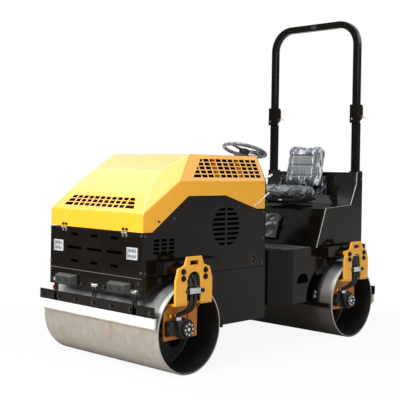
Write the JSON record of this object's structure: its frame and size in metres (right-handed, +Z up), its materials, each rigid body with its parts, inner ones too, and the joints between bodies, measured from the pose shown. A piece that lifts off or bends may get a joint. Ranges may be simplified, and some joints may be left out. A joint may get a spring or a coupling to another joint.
{
  "type": "ride-on tandem road roller",
  "caption": "Articulated ride-on road roller with two wide smooth steel drums, tilting engine hood, operator seat and folding roll-over hoop.",
  "frame": {"origin": "on the ground, midway between the two drum axles and on the axis of the steering hinge, which is the centre of the bottom of the bounding box", "axes": "+X forwards, +Y to the operator's left, +Z up"},
  "size_m": [2.708, 1.28, 2.677],
  "materials": {
    "black_paint": "gloss black paint",
    "cast_iron": "dark iron",
    "chrome": "polished",
    "console": "black plastic",
    "dark_grey": "satin dark grey",
    "drum_steel": "worn bare steel",
    "lamp": "white lamp face",
    "rubber": "matte black rubber",
    "vinyl": "grey seat vinyl under clear film",
    "yellow_paint": "gloss yellow paint"
  },
  "bodies": {
    "front_frame": {"engine": "cast_iron", "front_bracket_left": "yellow_paint", "front_bracket_right": "yellow_paint", "front_buffer_left": "dark_grey", "front_buffer_right": "dark_grey", "front_bumper": "black_paint", "front_chassis": "black_paint", "front_hoses_left": "rubber", "front_hoses_right": "rubber", "front_motor_left": "cast_iron", "front_motor_right": "cast_iron", "front_panel": "black_paint", "front_scraper_inner": "black_paint", "front_scraper_outer": "black_paint", "front_side_panel_left": "black_paint", "front_side_panel_right": "black_paint", "headlight_left": "lamp", "headlight_right": "lamp", "hood_hinge_left": "chrome", "hood_hinge_right": "chrome"},
    "front_drum": {"front_drum": "drum_steel"},
    "hood": {"hood": "yellow_paint"},
    "rear_frame": {"floor_mat": "rubber", "hoop_post_left": "black_paint", "hoop_post_right": "black_paint", "rear_bracket_left": "yellow_paint", "rear_bracket_right": "yellow_paint", "rear_buffer_left": "dark_grey", "rear_buffer_right": "dark_grey", "rear_bumper": "black_paint", "rear_chassis": "black_paint", "rear_hoses_left": "rubber", "rear_hoses_right": "rubber", "rear_motor_left": "cast_iron", "rear_motor_right": "cast_iron", "rear_scraper_inner": "black_paint", "rear_scraper_outer": "black_paint", "rear_side_panel_left": "black_paint", "rear_side_panel_right": "black_paint", "seat_back": "vinyl", "seat_base": "console", "seat_box": "black_paint", "seat_cushion": "vinyl", "steering_column": "console", "step_side_left": "black_paint", "step_side_right": "black_paint", "travel_lever": "chrome"},
    "rear_drum": {"rear_drum": "drum_steel"},
    "hoop": {"hoop": "black_paint"},
    "steering_wheel": {"steering_wheel": "console"},
    "steering_cylinder_barrel": {"steering_cylinder_barrel": "black_paint"},
    "steering_cylinder_rod": {"steering_cylinder_rod": "chrome"}
  },
  "joints": [
    {"name": "steering_hinge", "type": "hinge", "parent": "front_frame", "child": "rear_frame", "pos_m": [0, 0, 0.47], "axis": [0, 0, 1], "range_deg": [-25, 25]},
    {"name": "front_drum_roll", "type": "hinge", "parent": "front_frame", "child": "front_drum", "pos_m": [0.965, 0, 0.3], "axis": [0, 1, 0], "continuous": true},
    {"name": "rear_drum_roll", "type": "hinge", "parent": "rear_frame", "child": "rear_drum", "pos_m": [-0.965, 0, 0.3], "axis": [0, 1, 0], "continuous": true},
    {"name": "hood_tilt", "type": "hinge", "parent": "front_frame", "child": "hood", "pos_m": [1.311, 0, 0.94], "axis": [0, 1, 0], "range_deg": [0, 60]},
    {"name": "hoop_fold", "type": "hinge", "parent": "rear_frame", "child": "hoop", "pos_m": [-1.213, 0, 1.828], "axis": [0, -1, 0], "range_deg": [0, 110]},
    {"name": "steering_wheel_turn", "type": "hinge", "parent": "rear_frame", "child": "steering_wheel", "pos_m": [-0.266, 0, 1.525], "axis": [-0.2924, 0, 0.9563], "continuous": true},
    {"name": "cylinder_swing", "type": "hinge", "parent": "rear_frame", "child": "steering_cylinder_barrel", "pos_m": [-0.345, -0.195, 0.293], "axis": [0, 0, 1], "range_deg": [-2, 2]},
    {"name": "cylinder_stroke", "type": "slide", "parent": "steering_cylinder_barrel", "child": "steering_cylinder_rod", "axis": [0.979, 0.204, 0], "range_m": [-0.055, 0.055]}
  ],
  "couplings": [
    {"joint": "cylinder_stroke", "follows": "steering_hinge", "m_per_rad": -0.1224},
    {"joint": "cylinder_swing", "follows": "steering_hinge", "ratio": 0.0724}
  ]
}
